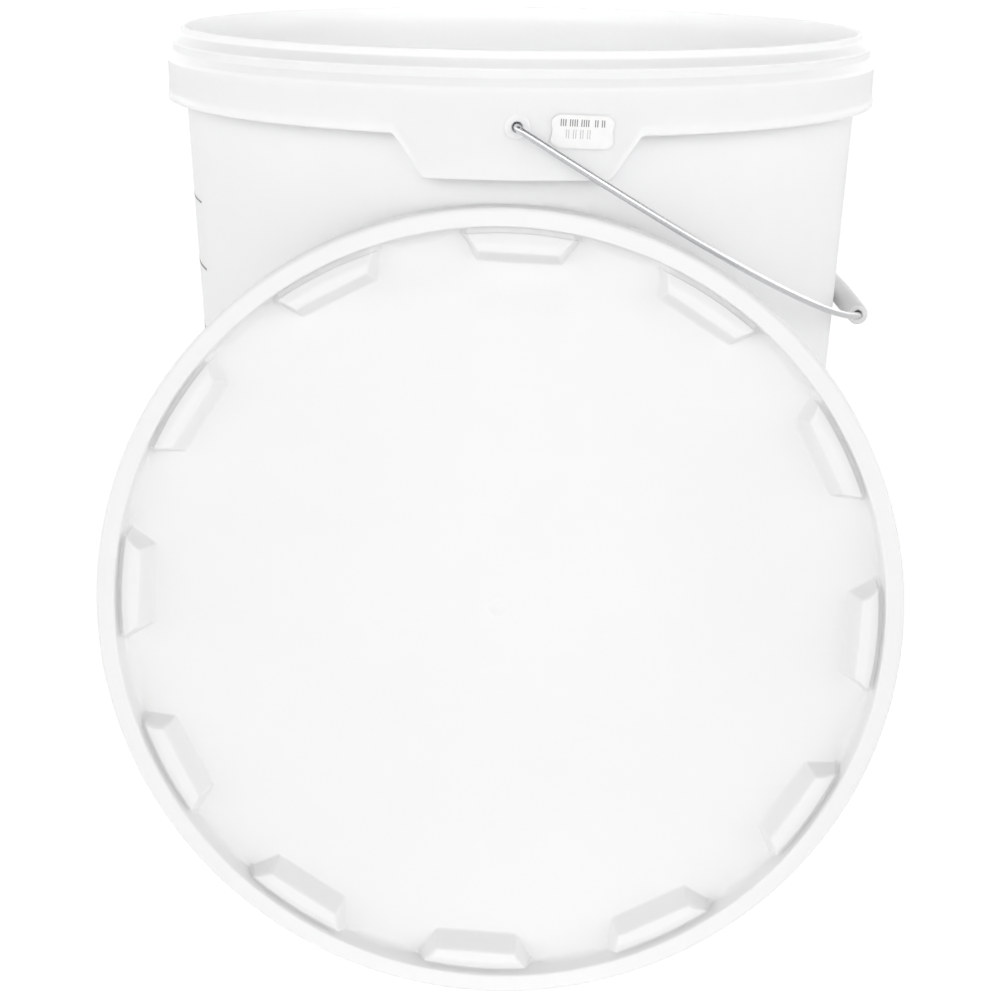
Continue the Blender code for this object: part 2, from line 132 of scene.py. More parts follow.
# Lid, in its own frame: +Z out of its top side, the origin in the plane of its skirt's edge
LID_HEIGHT = 13 * MM
LID_TOP_RADIUS = 167.7 * MM
LID_EDGE_RADIUS = 168.7 * MM
LID_RIM_INNER = 160.1 * MM
LID_SHELL = 1.6 * MM
LID_PANEL = 2 * MM
LID_COVE_RADIUS = 4 * MM
LID_COVE_FOOT = 159.7 * MM
LID_GROOVE_COVE = 0.6 * MM  # the cove's radius behind a lug, where the groove is
LID_GROOVE_DEPTH = 5.6 * MM
LID_ACROSS = 0.9 * MM  # the lid stands this much to the right of its solid's middle
LID_SOLID_EDGE_RADIUS = 169.3 * MM  # of the CAD model's lid, from whose box the lid's place is worked out
LID_LEAN_DEGREES = 7.3
LID_TURN_DEGREES = -1.4
LID_PANEL_RINGS = (0.012, 0.03, 0.05, 0.07, 0.09, 0.105, 0.12, 0.13, 0.137, 0.141)
LID_UNDERSIDE_RINGS = (0.143, 0.138, 0.13, 0.11, 0.08, 0.04, 0.0)

# Stacking lugs
LUG_COUNT = 12
LUG_TURN_DEGREES = 2.6
LUG_OUTER_RADIUS = 157.3 * MM
LUG_INNER_RADIUS = 145.4 * MM
LUG_OUTER_HALF = 25 * MM
LUG_INNER_HALF = 17.2 * MM
LUG_INNER_DRAFT = 4 * MM
LUG_END_DRAFT = 3.2 * MM
LUG_CHAMFER_RUN = 3.4 * MM
LUG_CHAMFER_DROP = 2.2 * MM
LUG_EDGE_BLEND = 1.4 * MM
LUG_FOOT_BLEND = 2.4 * MM
LUG_WALL_RUN = 0.3 * MM  # the outer side's slope, over the lug's height
LUG_END_SHARE = 1.3  # how far a lug's pocket keeps from its ends, for each unit of its other walls
GROOVE_END_DEGREES = (7.6, 9.2)  # from a lug's middle, where its groove fades out
COVE_DEGREES = (9.3, 12.3)  # and where the rim's inner corner widens to its full rounding

# Camera. It looks at the object from the front and a little from above.
CAMERA_LENS = 60.24  # mm
CAMERA_SENSOR = 36.0  # mm across
CAMERA_SHIFT = -0.1
CAMERA_PITCH_DEGREES = 16.148  # downwards
CAMERA_PAN_DEGREES = -0.861
CAMERA_ROLL_DEGREES = -0.650
CAMERA_PLACE = (0.00443, -0.83663, PAIL_TOP + 0.05106)

# Studio
BACKDROP_STRENGTH = 1.1  # what the camera sees behind the object
AIR_LOW_FRONT = 2.25  # the light from the camera's side, level with the object
AIR_BACK = 1.8  # from behind the object
AIR_TOP = 0.1  # from straight above
TABLE_GLOW = 0.14  # of the floor, as it lights the object
TABLE_SEEN_GLOW = 0.45  # of the floor, as the camera sees it
SOFTBOX_AIM = (0.0, -0.05, 0.25)
SOFTBOXES = (  # name, place, side, watts
    ("left_softbox", (-1.3, -1.3, 1.5), 0.6, 0.43),
    ("right_softbox", (1.3, -1.1, 1.4), 0.4, 0.85),
)
BEAM_SOURCE_RADIUS = 0.06

# Colours, each a range that a pattern runs through
NATURAL_TONES = ((0.85, 0.854, 0.857), (0.868, 0.871, 0.873))
WHITE_TONES = ((0.84, 0.84, 0.84), (0.855, 0.855, 0.853))
GRIP_TONES = ((0.77, 0.77, 0.767), (0.74, 0.74, 0.735))
ZINC_TONES = ((0.68, 0.69, 0.70), (0.76, 0.77, 0.775))
PAPER_TONES = ((0.865, 0.865, 0.86), (0.895, 0.895, 0.89))
FLOOR_TONES = ((0.90, 0.90, 0.90), (0.93, 0.93, 0.93))
DARK_INK_TONES = ((0.16, 0.16, 0.16), (0.32, 0.32, 0.32))
PALE_INK_TONES = ((0.45, 0.45, 0.45), (0.65, 0.65, 0.65))
SCALE_INK_TONES = ((0.16, 0.14, 0.12), (0.28, 0.26, 0.23))
PLASTIC_IOR = 1.49


# ---------------------------------------------------------------- mesh helpers


def grid_object(name, rings, pole_start=True, pole_end=True):
    """A closed surface through rings of points, as an array (ring, point, 3). A pole is one point."""
    shape = bmesh.new()
    rows = []
    last = len(rings) - 1
    for index, ring in enumerate(rings):
        is_pole = (index == 0 and pole_start) or (index == last and pole_end)
        rows.append([shape.verts.new(point) for point in (ring[:1] if is_pole else ring)])
    count = len(rings[0])
    for first, second in zip(rows, rows[1:]):
        for index in range(count):
            after = (index + 1) % count
            if len(first) == 1:
                corners = (first[0], second[index], second[after])
            elif len(second) == 1:
                corners = (first[index], second[0], first[after])
            else:
                corners = (first[index], second[index], second[after], first[after])
            shape.faces.new(corners)
    bmesh.ops.recalc_face_normals(shape, faces=shape.faces)
    mesh = bpy.data.meshes.new(name)
    shape.to_mesh(mesh)
    shape.free()
    mesh.shade_smooth()
    return link(name, mesh)


def link(name, mesh):
    item = bpy.data.objects.new(name, mesh)
    bpy.context.scene.collection.objects.link(item)
    return item


def rounded_profile(corners, degrees_per_step=15):
    """Points (r, z) along a profile of (r, z, rounding) corners, each rounding an arc."""
    places = [Vector(corner[:2]) for corner in corners]
    points = [places[0]]
    for before, corner, after, (_, _, radius) in zip(places, places[1:], places[2:], corners[1:]):
        into = (corner - before).normalized()
        out = (after - corner).normalized()
        turn = into.angle(out)
        if radius == 0 or turn < math.radians(1):
            points.append(corner)
            continue
        setback = radius * math.tan(turn / 2)
        start = corner - into * setback
        normal = (out - into * into.dot(out)).normalized()
        centre = start + normal * radius
        steps = max(2, math.ceil(math.degrees(turn) / degrees_per_step))
        for step in range(steps + 1):
            angle = turn * step / steps
            points.append(centre - normal * radius * math.cos(angle) + into * radius * math.sin(angle))
    points.append(places[-1])
    return points


def order_by_points(shape):
    """Gives edges and faces an order that is the same each run, which extruding doesn't."""
    shape.verts.index_update()
    for items in (shape.edges, shape.faces):
        ordered = sorted(items, key=lambda item: sorted(point.index for point in item.verts))
        for index, item in enumerate(ordered):
            item.index = index
        items.sort()


def turned(name, profile, steps):
    """A profile of (r, z) points, turned round Z. An end on the axis becomes a pole."""
    angles = np.linspace(0, 2 * math.pi, steps, endpoint=False)
    rings = np.array(
        [[(r * math.cos(a), r * math.sin(a), z) for a in angles] for r, z in profile]
    )
    return grid_object(name, rings, profile[0][0] == 0, profile[-1][0] == 0)


def smooth_min(first, second, blend):
    """The lower of two surfaces, with their crossing rounded."""
    share = np.clip(0.5 + 0.5 * (second - first) / blend, 0, 1)
    return second * (1 - share) + first * share - blend * share * (1 - share)


def smooth_max(first, second, blend):
    return -smooth_min(-first, -second, blend)


def smooth_step(value):
    value = np.clip(value, 0, 1)
    return value * value * (3 - 2 * value)


def boolean(item, tool, operation):
    modifier = item.modifiers.new(operation, "BOOLEAN")
    modifier.operation = operation
    modifier.solver = "EXACT"
    modifier.object = tool


def bake_modifiers(item, tools):
    """Makes the modifiers' result the object's mesh, and removes the tools."""
    bpy.context.view_layer.update()
    graph = bpy.context.evaluated_depsgraph_get()
    mesh = bpy.data.meshes.new_from_object(item.evaluated_get(graph))
    item.modifiers.clear()
    item.data = mesh
    for tool in tools:
        bpy.data.objects.remove(tool, do_unlink=True)


def settle(item):
    """Moves the object's place into its mesh."""
    bpy.context.view_layer.update()
    item.data.transform(item.matrix_world)
    item.matrix_world = Matrix.Identity(4)
    return item


def joined(name, items):
    """One object from several, whose meshes stay as they are."""
    shape = bmesh.new()
    for item in items:
        part = item.data.copy()
        part.transform(item.matrix_world)
        shape.from_mesh(part)
        bpy.data.objects.remove(item, do_unlink=True)
    mesh = bpy.data.meshes.new(name)
    shape.to_mesh(mesh)
    shape.free()
    return link(name, mesh)


def keep_flats_flat(item, sharp_degrees=50):
    """Smooth shading in which the large faces set the direction of the shared edges."""
    item.data.shade_smooth()
    item.data.set_sharp_from_angle(angle=math.radians(sharp_degrees))
    weighted = item.modifiers.new("flat_faces", "WEIGHTED_NORMAL")
    weighted.keep_sharp = True
    weighted.weight = 100


# ---------------------------------------------------------------- materials


class Nodes:
    """A material's node tree, with short calls for the nodes that the materials here share."""

    def __init__(self, name):
        self.material = bpy.data.materials.new(name)
        self.material.use_nodes = True
        self.tree = self.material.node_tree
        self.shader = self.tree.nodes["Principled BSDF"]
        self.place = self.tree.nodes.new("ShaderNodeTexCoord").outputs["Object"]

    def link(self, source, target):
        self.tree.links.new(source, target)

    def stretched(self, scale):
        """Object coordinates, scaled apart along X, Y and Z."""
        node = self.tree.nodes.new("ShaderNodeMapping")
        node.inputs["Scale"].default_value = scale
        self.link(self.place, node.inputs["Vector"])
        return node.outputs["Vector"]

    def noise(self, scale, detail=3.0, place=None, roughness=0.55):
        node = self.tree.nodes.new("ShaderNodeTexNoise")
        node.inputs["Scale"].default_value = scale
        node.inputs["Detail"].default_value = detail
        node.inputs["Roughness"].default_value = roughness
        self.link(place or self.place, node.inputs["Vector"])
        return node.outputs["Fac"]

    def ranged(self, value, low, high, new_low, new_high):
        node = self.tree.nodes.new("ShaderNodeMapRange")
        node.inputs["From Min"].default_value = low
        node.inputs["From Max"].default_value = high
        node.inputs["To Min"].default_value = new_low
        node.inputs["To Max"].default_value = new_high
        self.link(value, node.inputs["Value"])
        return node.outputs["Result"]

    def mixed(self, share, first, second):
        """A colour between two (r, g, b) colours."""
        node = self.tree.nodes.new("ShaderNodeMix")
        node.data_type = "RGBA"
        self.link(share, node.inputs["Factor"])
        node.inputs["A"].default_value = (*first, 1.0)
        node.inputs["B"].default_value = (*second, 1.0)
        return node.outputs["Result"]

    def bump(self, heights):
        """Chained bumps, from (height socket, distance, strength)."""
        last = None
        for height, distance, strength in heights:
            node = self.tree.nodes.new("ShaderNodeBump")
            node.inputs["Distance"].default_value = distance
            node.inputs["Strength"].default_value = strength
            self.link(height, node.inputs["Height"])
            if last:
                self.link(last, node.inputs["Normal"])
            last = node.outputs["Normal"]
        self.link(last, self.shader.inputs["Normal"])

    def set_colour(self, pattern, low, high, tones):
        """Runs the colour through the tones, as the pattern goes from low to high."""
        tone = self.mixed(self.ranged(pattern, low, high, 0.0, 1.0), *tones)
        self.link(tone, self.shader.inputs["Base Color"])

    def set_roughness(self, pattern, low, high, smooth, rough):
        self.link(self.ranged(pattern, low, high, smooth, rough), self.shader.inputs["Roughness"])

    def set_translucence(self, weight, scale):
        """Lets light run a little way through the plastic."""
        self.shader.inputs["Subsurface Weight"].default_value = weight
        self.shader.inputs["Subsurface Radius"].default_value = (1.0, 1.0, 1.0)
        self.shader.inputs["Subsurface Scale"].default_value = scale
        self.shader.inputs["IOR"].default_value = PLASTIC_IOR


def natural_plastic():
    """Natural polypropylene: milky, slightly see-through, satin, with faint flow marks down the wall."""
    nodes = Nodes("natural_polypropylene")
    clouds = nodes.noise(14.0, 3.0)
    flow = nodes.noise(1.0, 4.0, nodes.stretched((60.0, 60.0, 5.0)))
    grain = nodes.noise(1800.0, 2.0)
    nodes.set_colour(clouds, 0.3, 0.7, NATURAL_TONES)
    nodes.set_roughness(flow, 0.3, 0.7, 0.3, 0.4)
    nodes.set_translucence(0.7, 3 * MM)
    nodes.bump(((flow, 0.3 * MM, 0.25), (grain, 0.04 * MM, 0.35)))
    return nodes.material


def white_plastic():
    """White-pigmented polypropylene of the lid, with a fine moulded grain and faint scuffs."""
    nodes = Nodes("white_polypropylene")
    clouds = nodes.noise(9.0, 3.0)
    scuffs = nodes.noise(1.0, 5.0, nodes.stretched((35.0, 160.0, 60.0)), 0.7)
    grain = nodes.noise(1500.0, 2.0)
    nodes.set_colour(clouds, 0.3, 0.7, WHITE_TONES)
    nodes.set_roughness(scuffs, 0.35, 0.75, 0.38, 0.52)
    nodes.set_translucence(0.1, 2 * MM)
    nodes.bump(((clouds, 0.25 * MM, 0.1), (grain, 0.04 * MM, 0.35)))
    return nodes.material


def grip_plastic():
    """White polythene of the grip, a little dulled by handling."""
    nodes = Nodes("white_polythene")
    wear = nodes.noise(90.0, 4.0)
    grain = nodes.noise(2200.0, 2.0)
    nodes.set_colour(wear, 0.35, 0.7, GRIP_TONES)
    nodes.set_roughness(wear, 0.3, 0.7, 0.36, 0.5)
    nodes.bump(((wear, 0.1 * MM, 0.2), (grain, 0.04 * MM, 0.4)))
    return nodes.material


def galvanised_wire():
    """Bright drawn wire: fine lines along it, and slightly uneven zinc. V runs along the wire."""
    nodes = Nodes("galvanised_steel")
    nodes.place = nodes.tree.nodes["Texture Coordinate"].outputs["UV"]
    lines = nodes.noise(1.0, 3.0, nodes.stretched((26.0, 60.0, 1.0)))
    zinc = nodes.noise(1.0, 4.0, nodes.stretched((4.0, 900.0, 1.0)))
    nodes.set_colour(zinc, 0.35, 0.65, ZINC_TONES)
    nodes.shader.inputs["Metallic"].default_value = 1.0
    nodes.set_roughness(zinc, 0.3, 0.7, 0.2, 0.28)
    nodes.bump(((lines, 0.012 * MM, 0.2), (zinc, 0.01 * MM, 0.12)))
    return nodes.material


def label_paper():
    """Smooth white sticker paper."""
    nodes = Nodes("label_paper")
    fibres = nodes.noise(1.0, 4.0, nodes.stretched((500.0, 500.0, 1400.0)))
    clouds = nodes.noise(220.0, 3.0)
    nodes.set_colour(clouds, 0.35, 0.65, PAPER_TONES)
    nodes.set_roughness(fibres, 0.3, 0.7, 0.6, 0.75)
    nodes.bump(((fibres, 0.05 * MM, 0.3),))
    return nodes.material


def printed_ink(name, tones):
    """Ink that didn't take evenly."""
    nodes = Nodes(name)
    patches = nodes.noise(2500.0, 4.0)
    nodes.set_colour(patches, 0.35, 0.7, tones)
    nodes.set_roughness(patches, 0.3, 0.7, 0.35, 0.6)
    nodes.bump(((patches, 0.01 * MM, 0.5),))
    return nodes.material


# ---------------------------------------------------------------- pail


def wall_radius(height):
    return WALL_RADIUS + WALL_TAPER * (height - (PAIL_TOP - WALL_RADIUS_DEPTH))


def skirt_depth(x):
    """Depth of the skirt's edge at this distance from the plane of the pivots: deeper at a boss."""
    slope = (BOSS_DEPTH - SKIRT_DEPTH) / (BOSS_TOP_HALF_WIDTH - BOSS_BOTTOM_HALF_WIDTH)
    ramp = SKIRT_DEPTH + slope * (BOSS_TOP_HALF_WIDTH - np.abs(x))
    corner = 1.5 * MM
    return smooth_max(smooth_min(ramp, BOSS_DEPTH, corner), SKIRT_DEPTH, corner)


def pail_columns():
    """Angles round from the front pivot: close together where the boss's edge slants."""
    near = [*np.arange(0, 12, 1.0), *np.arange(12, 18.2, 0.2), *np.arange(19, 90, 1.25)]
    quarter = np.radians(near)
    half = [*quarter, math.pi / 2, *(math.pi - quarter[::-1])]
    return np.array(half[:-1] + [-angle for angle in half[:0:-1]])


def pail_rings():
    """The pail's surface, ring by ring, from the middle of its inside to the middle of its underside."""
    top = PAIL_TOP
    inner_top = LIP_RADIUS - LIP_THICKNESS
    corner_radius = wall_radius(FLOOR_THICKNESS) - WALL_THICKNESS
    step_height = top - 36 * MM
    skirt_start = top - SKIRT_TOP - 4 * MM  # from here down, skirt_edge makes the skirt
    gate = FLOOR_THICKNESS + 0.5 * MM
    inside = [
        (0.0, gate, 0),
        (3 * MM, gate, 0.4 * MM),
        (3.6 * MM, FLOOR_THICKNESS, 0.4 * MM),
        (60 * MM, FLOOR_THICKNESS, 0),
        (110 * MM, FLOOR_THICKNESS, 0),
        (corner_radius, FLOOR_THICKNESS, INSIDE_CORNER),
        *[(wall_radius(height) - WALL_THICKNESS, height, 0) for height in (0.1, 0.2, 0.3)],
        (wall_radius(step_height) - WALL_THICKNESS, step_height, 6 * MM),
        (inner_top, top - 5 * MM, 4 * MM),
        (inner_top, top, 0.6 * MM),
    ]
    rim = [
        (LIP_RADIUS, top, 0.6 * MM),
        (LIP_RADIUS, top - 3.3 * MM, 1.2 * MM),
        (BEAD_RADIUS, top - 7.1 * MM, 0.7 * MM),
        (BEAD_RADIUS - 0.4 * MM, top - 8.2 * MM, 0.5 * MM),
        (BEAD_RADIUS - 0.3 * MM, top - 10.8 * MM, 1 * MM),
        (SKIRT_RADIUS - 0.5 * MM, top - 14 * MM, 1 * MM),
        (SKIRT_RADIUS, top - SKIRT_TOP, 1.2 * MM),
        (SKIRT_RADIUS, skirt_start, 0),
    ]
    skirt_inside = SKIRT_RADIUS - SKIRT_THICKNESS
    behind = [
        (skirt_inside, skirt_start, 0),
        (skirt_inside, top - SKIRT_TOP - 1.5 * MM, 1 * MM),
        (BEAD_RADIUS - 2.2 * MM, top - 12.6 * MM, 1 * MM),
        (BEAD_RADIUS - 2.4 * MM, top - 8.8 * MM, 0.6 * MM),
        (LIP_RADIUS - 0.2 * MM, top - 7.2 * MM, 0.4 * MM),
        (wall_radius(top - 10 * MM), top - 10 * MM, 1 * MM),
        *[(wall_radius(height), height, 0) for height in (0.34, 0.3, 0.2, 0.1)],
    ]
    foot_inner = 132 * MM
    foot = [
        (wall_radius(0), 0.0, BASE_EDGE_RADIUS),
        (foot_inner, 0.0, 0.5 * MM),
        (foot_inner - 1.5 * MM, FOOT_RECESS, 0.5 * MM),
        (60 * MM, FOOT_RECESS, 0),
        (0.0, FOOT_RECESS, 0),
    ]
    columns = pail_columns()
    depth = skirt_depth(SKIRT_RADIUS * np.sin(columns))
    on_boss = smooth_step((depth - SKIRT_DEPTH) / (BOSS_DEPTH - SKIRT_DEPTH))
    rings = []

    def add(radius, height):
        x = radius * np.sin(columns)
        y = -radius * np.cos(columns)
        rings.append(np.stack([x, y, np.broadcast_to(height, columns.shape)], axis=1))

    for radius, height in rounded_profile(inside + rim):
        add(radius, height)
    for radius, height in skirt_edge(skirt_start, top - depth, on_boss):
        add(radius, height)
    for radius, height in rounded_profile(behind + foot):
        add(radius, height)
    return np.array(rings)


def skirt_edge(start, bottom, on_boss):
    """The skirt's lower outside, its rounded edge and its lower inside. Heights vary round the pail."""
    swell = HEM_SWELL * (1 - on_boss)
    inside = SKIRT_RADIUS - SKIRT_THICKNESS
    edge = 0.6 * MM
    rows = []
    above_hem = bottom + HEM_HEIGHT
    for share in (0.3, 0.6, 0.9, 1.0):
        rows.append((SKIRT_RADIUS, start + (above_hem - start) * share))
    for share in (0.2, 0.4, 0.6, 0.8):
        rise = swell * smooth_step(np.float64(share / 0.8))
        rows.append((SKIRT_RADIUS + rise, bottom + edge + (HEM_HEIGHT - edge) * (1 - share)))
    for degrees in (0, 22.5, 45, 67.5, 90):
        angle = math.radians(degrees)
        radius = SKIRT_RADIUS - edge + swell * math.cos(angle) + edge * math.cos(angle)
        rows.append((radius, bottom + edge * (1 - math.sin(angle))))
    for degrees in (90, 60, 30, 0):
        angle = math.radians(degrees)
        rows.append((inside + edge * (1 - math.cos(angle)), bottom + edge * (1 - math.sin(angle))))
    for share in (0.9, 0.5, 0.1):
        rows.append((inside, start + (bottom + edge - start) * share))
    return rows


def boss_web(side, facing):
    """One slanted wall that ties a boss to the pail's wall. Facing is -1 at the front, 1 at the back."""
    overlap = 0.2 * MM
    into_plate = 0.7 * MM
    into_wall = 0.8 * MM
    high = PAIL_TOP - SKIRT_DEPTH + 2 * MM
    low = PAIL_TOP - BOSS_DEPTH + overlap
    heights = [low, (low + PAIL_TOP - SKIRT_DEPTH) / 2, PAIL_TOP - SKIRT_DEPTH, high]
    widths = [
        BOSS_BOTTOM_HALF_WIDTH,
        (BOSS_BOTTOM_HALF_WIDTH + BOSS_TOP_HALF_WIDTH) / 2,
        BOSS_TOP_HALF_WIDTH,
        BOSS_TOP_HALF_WIDTH,
    ]
    plate = SKIRT_RADIUS - SKIRT_THICKNESS + into_plate
    loops = []
    for height, width in zip(heights, widths):
        loop = []
        for inset, radius in (
            (overlap, plate),
            (BOSS_WEB_THICKNESS, plate),
            (BOSS_WEB_THICKNESS, wall_radius(height) - into_wall),
            (overlap, wall_radius(height) - into_wall),
        ):
            x = width - inset
            loop.append((side * x, facing * math.sqrt(radius**2 - x**2), height))
        loops.append(loop)
    shape = bmesh.new()
    rows = [[shape.verts.new(point) for point in loop] for loop in loops]
    for first, second in zip(rows, rows[1:]):
        for index in range(4):
            after = (index + 1) % 4
            shape.faces.new((first[index], first[after], second[after], second[index]))
    shape.faces.new(rows[0])
    shape.faces.new(rows[-1])
    bmesh.ops.recalc_face_normals(shape, faces=shape.faces)
    mesh = bpy.data.meshes.new("boss_web")
    shape.to_mesh(mesh)
    shape.free()
    return link("boss_web", mesh)


def pivot_turned(profile, facing):
    """A small turned shape on the pivot's axis, its +Z out of the pail."""
    steps = 48
    item = turned("pivot", profile, steps)
    item.location = (0.0, 0.0, PAIL_TOP - PIVOT_DEPTH)
    item.rotation_euler = (math.radians(-90 * facing), 0.0, 0.0)
    return item


def make_pail():
    pail = grid_object("pail_shell", pail_rings())
    face = PIVOT_PAD_FACE
    buried = SKIRT_RADIUS - 0.8 * MM
    through = SKIRT_RADIUS - 4 * MM
    chamfer = 1.6 * MM
    pad = rounded_profile(
        [
            (0.0, face, 0),
            (PIVOT_PAD_RADIUS - 0.8 * MM, face, 0.4 * MM),
            (PIVOT_PAD_RADIUS, SKIRT_RADIUS - 0.1 * MM, 0),
            (PIVOT_PAD_RADIUS, buried, 0),
            (0.0, buried, 0),
        ],
    )
    hole = [
        (0.0, face + 2 * MM),
        (PIVOT_HOLE_RADIUS + chamfer, face + 2 * MM),
        (PIVOT_HOLE_RADIUS, face - 0.4 * MM),
        (PIVOT_HOLE_RADIUS, through),
        (0.0, through),
    ]
    additions = []
    holes = []
    for facing in (-1, 1):
        additions += [boss_web(side, facing) for side in (-1, 1)]
        additions.append(pivot_turned(pad, facing))
        holes.append(pivot_turned(hole, facing))
    bpy.context.view_layer.update()
    added = joined("additions", additions)
    removed = joined("holes", holes)
    boolean(pail, added, "UNION")
    boolean(pail, removed, "DIFFERENCE")
    bake_modifiers(pail, [added, removed])
    keep_flats_flat(pail)
    return pail


# ---------------------------------------------------------------- bail


def bend_points(before, corner, after, radius, steps=6):
    into = (corner - before).normalized()
    out = (after - corner).normalized()
    turn = into.angle(out)
    start = corner - into * radius * math.tan(turn / 2)
    normal = (out - into * into.dot(out)).normalized()
    centre = start + normal * radius
    points = []
    for step in range(steps + 1):
        angle = turn * step / steps
        points.append(centre - normal * radius * math.cos(angle) + into * radius * math.sin(angle))
    return points


def arm_curve(steps=44):
    """The arm's centre line in the bail's plane: x away from the pivots' axis, y along it."""
    start = Vector((WIRE_BEND_RADIUS, -ARM_FACE))
    end = Vector((BAIL_REACH, -GRIP_STRAIGHT))
    angle = math.radians(ARM_END_DEGREES)
    first_pull = start + Vector((ARM_START_PULL, 0.0))
    second_pull = end - ARM_END_PULL * Vector((math.cos(angle), math.sin(angle)))
    points = []
    for step in range(steps + 1):
        t = step / steps
        s = 1 - t
        points.append(
            s**3 * start + 3 * s * s * t * first_pull + 3 * s * t * t * second_pull + t**3 * end
        )
    return points


def bail_route():
    tip = Vector((-HOOK_LENGTH, -HOOK_FACE))
    inner = Vector((0.0, -HOOK_FACE))
    outer = Vector((0.0, -ARM_FACE))
    middle = Vector((BAIL_REACH, 0.0))
    arm = arm_curve()
    points = [tip]
    points += bend_points(tip, inner, outer, WIRE_BEND_RADIUS)
    points += bend_points(inner, outer, outer + Vector((1.0, 0.0)), WIRE_BEND_RADIUS)
    points += arm[1:-3]
    points += bend_points(arm[-3], arm[-1], middle, 3 * WIRE_BEND_RADIUS)
    points += [Vector((BAIL_REACH, share * GRIP_STRAIGHT)) for share in (-0.7, -0.35)]  # inside the grip
    mirrored = [Vector((point.x, -point.y)) for point in reversed(points)]
    return points + [middle] + mirrored


def make_wire():
    """The bail's wire, swept round its route. Its ends are sheared flat with a small rounding."""
    sides = 20
    route = [Vector((point.x, point.y, 0.0)) for point in bail_route()]
    rings = []
    along = [0.0]
    for first, second in zip(route, route[1:]):
        along.append(along[-1] + (second - first).length)
    up = Vector((0.0, 0.0, 1.0))
    for index, point in enumerate(route):
        before = route[max(index - 1, 0)]
        after = route[min(index + 1, len(route) - 1)]
        direction = (after - before).normalized()
        sideways = up.cross(direction)
        ring = []
        for side in range(sides):
            angle = 2 * math.pi * side / sides
            ring.append(point + WIRE_RADIUS * (math.cos(angle) * sideways + math.sin(angle) * up))
        rings.append(ring)
    rings, along = with_end_caps(route, rings, along)
    wire = grid_object("bail_wire_drawn", np.array(rings), True, True)
    add_tube_uv(wire, sides, along)
    wire.location = (0.0, 0.0, PAIL_TOP - PIVOT_DEPTH)
    wire.rotation_euler = (0.0, math.radians(BAIL_REST_DEGREES), 0.0)
    return settle(wire)


def with_end_caps(route, rings, along):
    """Adds a slightly rounded end to each end of the wire."""
    rounding = 0.35 * MM
    caps = []
    for end, neighbour, ring in ((route[0], route[1], rings[0]), (route[-1], route[-2], rings[-1])):
        outwards = (end - neighbour).normalized()
        cap = []
        for degrees in (30, 60, 90):
            angle = math.radians(degrees)
            shrink = 1 - rounding / WIRE_RADIUS * (1 - math.cos(angle))
            offset = outwards * rounding * math.sin(angle)
            cap.append([end + (point - end) * shrink + offset for point in ring])
        cap.append([end + outwards * rounding] * len(ring))
        caps.append(cap)
    start = list(reversed(caps[0]))
    rings = start + rings + caps[1]
    along = [along[0]] * len(start) + along + [along[-1]] * len(caps[1])
    return rings, along


def add_tube_uv(item, sides, along):
    """U once round the tube, V along it in metres."""
    layer = item.data.uv_layers.new(name="along").data
    count = len(along)
    for face in item.data.polygons:
        for corner, vertex in zip(face.loop_indices, face.vertices):
            ring = 0 if vertex == 0 else min((vertex - 1) // sides + 1, count - 1)
            side = (vertex - 1) % sides if 0 < ring < count - 1 else 0
            layer[corner].uv = (side / sides, along[ring])


def make_grip():
    """A barrel-shaped moulded tube, turned round the wire, with a rounded edge at each end."""
    steps = 14
    round_steps = 64
    half = GRIP_HALF_LENGTH
    edge = 0.6 * MM
    barrel = []
    for step in range(steps + 1):
        along = 1 - 2 * step / steps
        radius = GRIP_END_RADIUS + (GRIP_MIDDLE_RADIUS - GRIP_END_RADIUS) * (1 - along**2)
        rounding = 0.5 * MM if step in (0, steps) else 0
        barrel.append((radius, along * (half - (edge if step in (0, steps) else 0)), rounding))
    bore = GRIP_BORE_RADIUS
    flare = bore + 0.6 * MM
    top = [
        (bore, 0.0, 0),
        (bore, half - 0.8 * MM, 0.3 * MM),
        (flare, half, 0.2 * MM),
        (GRIP_END_RADIUS - edge, half, 0.4 * MM),
    ]
    bottom = [(r, -z, rounding) for r, z, rounding in reversed(top)]
    profile = rounded_profile(top + barrel + bottom)
    grip = turned("bail_grip_tube", profile[:-1], round_steps)
    low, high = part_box("bail_grip")
    grip.location = (low + high) / 2
    grip.rotation_euler = (math.radians(90), 0.0, 0.0)
    return settle(grip)


# ---------------------------------------------------------------- label and scale


def on_pail(radius, degrees, height):
    """A point on a cylinder round the pail, at an angle from the front pivot towards +X."""
    angle = math.radians(degrees)
    return Vector((radius * math.sin(angle), -radius * math.cos(angle), height))


def curved_patch(name, outline, thickness, place):
    """A thin solid with this outline. place(x, y, depth) bends it onto its surface."""
    shape = bmesh.new()
    face = shape.faces.new([shape.verts.new((x, y, 0.0)) for x, y in outline])
    low = min(x for x, _ in outline)
    high = max(x for x, _ in outline)
    spacing = 2 * MM
    merge = 1e-7
    for index in range(1, math.ceil((high - low) / spacing)):
        cut = Vector((low + index * spacing, 0.0, 0.0))
        geometry = shape.verts[:] + shape.edges[:] + shape.faces[:]
        bmesh.ops.bisect_plane(shape, geom=geometry, plane_co=cut, plane_no=(1, 0, 0), dist=merge)
    made = bmesh.ops.extrude_face_region(shape, geom=shape.faces[:])
    for item in made["geom"]:
        if isinstance(item, bmesh.types.BMVert):
            item.co.z = thickness
    for vertex in shape.verts:
        vertex.co = place(*vertex.co)
    order_by_points(shape)
    bmesh.ops.recalc_face_normals(shape, faces=shape.faces)
    mesh = bpy.data.meshes.new(name)
    shape.to_mesh(mesh)
    shape.free()
    return link(name, mesh)


